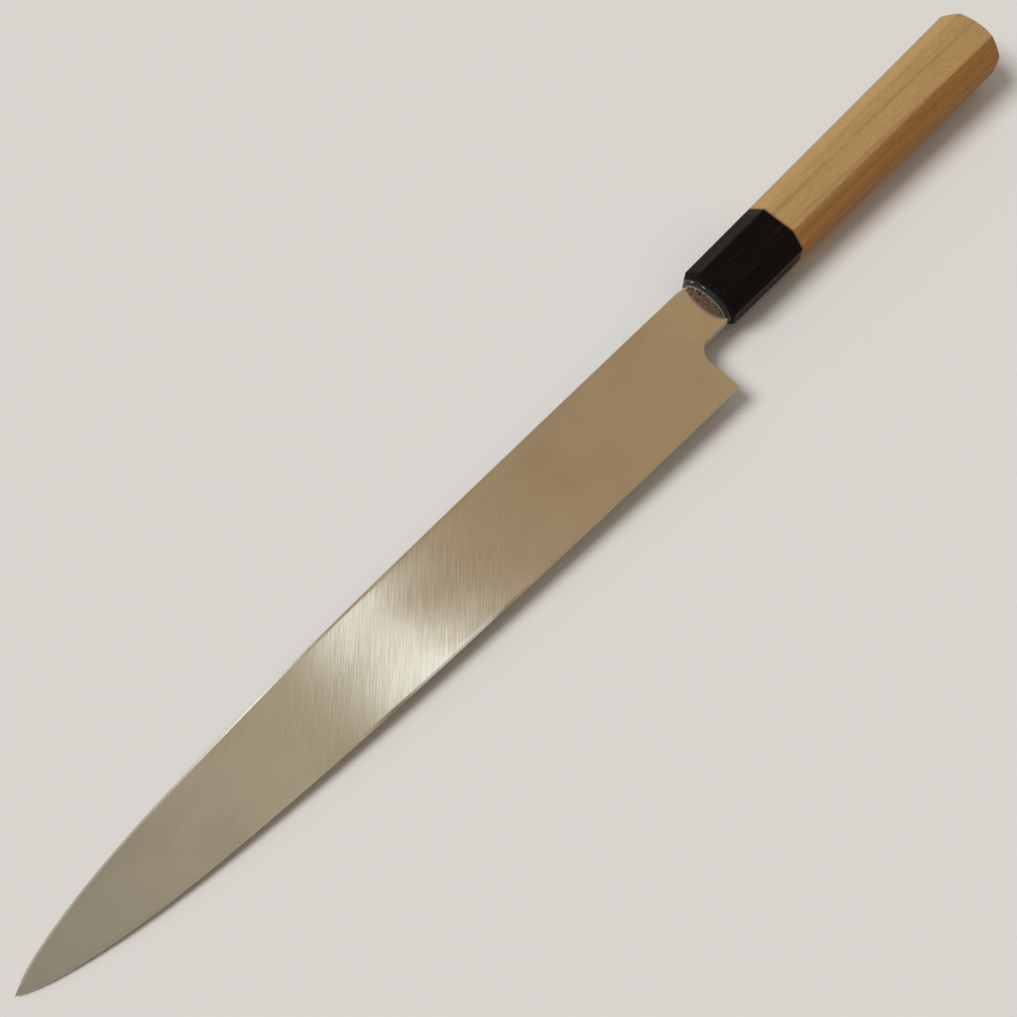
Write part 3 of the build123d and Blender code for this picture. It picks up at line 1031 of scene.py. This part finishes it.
def makeWorld():
    # Reflections see a ceiling that changes colour along x, over a pale horizon. Everything else is lit by a
    # plain fill, warmer from the edge's side, and the camera sees the backdrop.
    world = bpy.data.worlds.new("studio")
    world.use_nodes = True
    world.node_tree.nodes.clear()
    nodes = Nodes(world.node_tree)
    direction = nodes.add("ShaderNodeTexCoord").outputs["Generated"]
    x, y, z = nodes.add("ShaderNodeSeparateXYZ", Vector=direction).outputs
    ceiling = studio["ceiling"]
    for start, full, colour in studio["ceilingSteps"]:
        ceiling = nodes.mix(nodes.span(x, start, full), ceiling, colour)
    horizon = nodes.mix(nodes.span(x, *studio["windowPlace"]), studio["horizon"], windowLight)
    reflected = nodes.mix(nodes.span(z, *studio["ceilingHeight"]), horizon, ceiling)
    fill = nodes.mix(nodes.span(y, *studio["fillPlace"]), studio["warmFill"], studio["fill"])
    rays = nodes.add("ShaderNodeLightPath").outputs
    seen = nodes.math("MAXIMUM", rays["Is Glossy Ray"], rays["Is Transmission Ray"])
    colour = nodes.mix(seen, fill, reflected)
    colour = nodes.mix(rays["Is Camera Ray"], colour, studio["backdrop"])
    background = nodes.add("ShaderNodeBackground", Color=colour)
    nodes.add("ShaderNodeOutputWorld", Surface=background.outputs[0])
    bpy.context.scene.world = world


def aimed(location, target):
    # The pose of a lamp at location that shines at target
    turned = (Vector(target) - Vector(location)).to_track_quat("-Z", "Y").to_matrix().to_4x4()
    return Matrix.Translation(location) @ turned


def addLight(name, kind, location, target):
    # A lamp that the camera doesn't see
    data = bpy.data.lights.new(name, kind)
    lamp = bpy.data.objects.new(name, data)
    bpy.context.scene.collection.objects.link(lamp)
    lamp.matrix_world = aimed(location, target)
    lamp.visible_camera = False
    return lamp, data


def makeKey():
    # An even soft light from the spine's side, for everything but reflections
    lamp, data = addLight("key", "SUN", studio["keyPlace"], (0.0, 0.0, 0.0))
    data.energy = studio["keyStrength"]
    data.angle = studio["keySpread"]
    lamp.visible_glossy = False


def makePanel(name, location, target, size, power, colour=(1.0, 1.0, 1.0), spin=0.0, onto=()):
    # A panel that shows in reflections alone, turned by spin about its own axis. It lights only the pieces in
    # onto, if there are any, so that the glints on the horn don't dazzle in the blade.
    lamp, data = addLight(name, "AREA", location, target)
    lamp.matrix_world = lamp.matrix_world @ Matrix.Rotation(spin, 4, "Z")
    data.shape = "RECTANGLE"
    data.size, data.size_y = size
    data.energy = power
    data.color = colour
    lamp.visible_diffuse = False
    if onto:
        lamp.light_linking.receiver_collection = bpy.data.collections.new(f"{name}Lights")
        for piece in onto:
            lamp.light_linking.receiver_collection.objects.link(piece)


makeFloor()
makeWorld()
makeKey()

handlePieces = (hornFerrule, handleWood, seal)
coolWhite = (0.84, 0.93, 1.0)
panels = [
    {"name": "keyPanel", "location": (-1.15, 1.15, 1.61), "target": (0.0, 0.0, 0.0),
     "size": (0.45, 0.45), "power": 11.0, "onto": handlePieces},
    {"name": "edgePanel", "location": (1.1, 1.51, 0.84), "target": (0.09, 0.0, 0.02),
     "size": (1.0, 0.6), "power": 7.0, "colour": (1.0, 0.9, 0.76), "onto": handlePieces},
    {"name": "spinePanel", "location": (-0.25, 0.65, 0.76), "target": (-0.17, 0.0, 0.01),
     "size": (0.44, 0.5), "power": 0.16, "colour": coolWhite},
    {"name": "glintPanel", "location": (-0.035, 0.65, 0.76), "target": (-0.13, 0.0, 0.01),
     "size": (0.08, 0.5), "power": 0.13, "colour": coolWhite},
    {"name": "farPanel", "location": (-0.38, 1.4, 0.16), "target": (0.0756, 0.0, 0.02),
     "size": (0.35, 0.35), "power": 5.0, "onto": handlePieces},
    {"name": "bladePanel", "location": (-0.0019, 0.0075, 0.2108), "target": (-0.0019, 0.0075, 0.0),
     "size": (0.033, 0.16), "power": 0.0204, "colour": (0.73, 0.875, 1.0), "spin": 0.811},
]
for panel in panels:
    makePanel(**panel)

view = {
    "place": (-0.19879, -0.13173, 0.48880),
    "right": (0.67677, -0.73524, 0.03754),
    "down": (-0.65815, -0.62708, -0.41667),
    "focalPixels": 1700.0,
    "framePixels": 1017.0,
    "sensor": 36.0,
    "nearest": 0.01,
}


def makeCamera():
    # Where it stands, which way its picture's right and down point, and its focal length in picture points
    data = bpy.data.cameras.new("camera")
    data.sensor_width = view["sensor"]
    data.lens = view["focalPixels"] / view["framePixels"] * view["sensor"]
    camera = bpy.data.objects.new("camera", data)
    bpy.context.scene.collection.objects.link(camera)
    right, up = np.array(view["right"]), -np.array(view["down"])
    backwards = np.cross(right, up)
    turned = np.eye(4)
    turned[:3, 0], turned[:3, 1], turned[:3, 2], turned[:3, 3] = right, up, backwards, view["place"]
    camera.matrix_world = Matrix(turned.tolist())
    data.clip_start = view["nearest"]
    bpy.context.scene.camera = camera


makeCamera()
bpy.context.scene.view_settings.view_transform = "Standard"
print("studio ready")
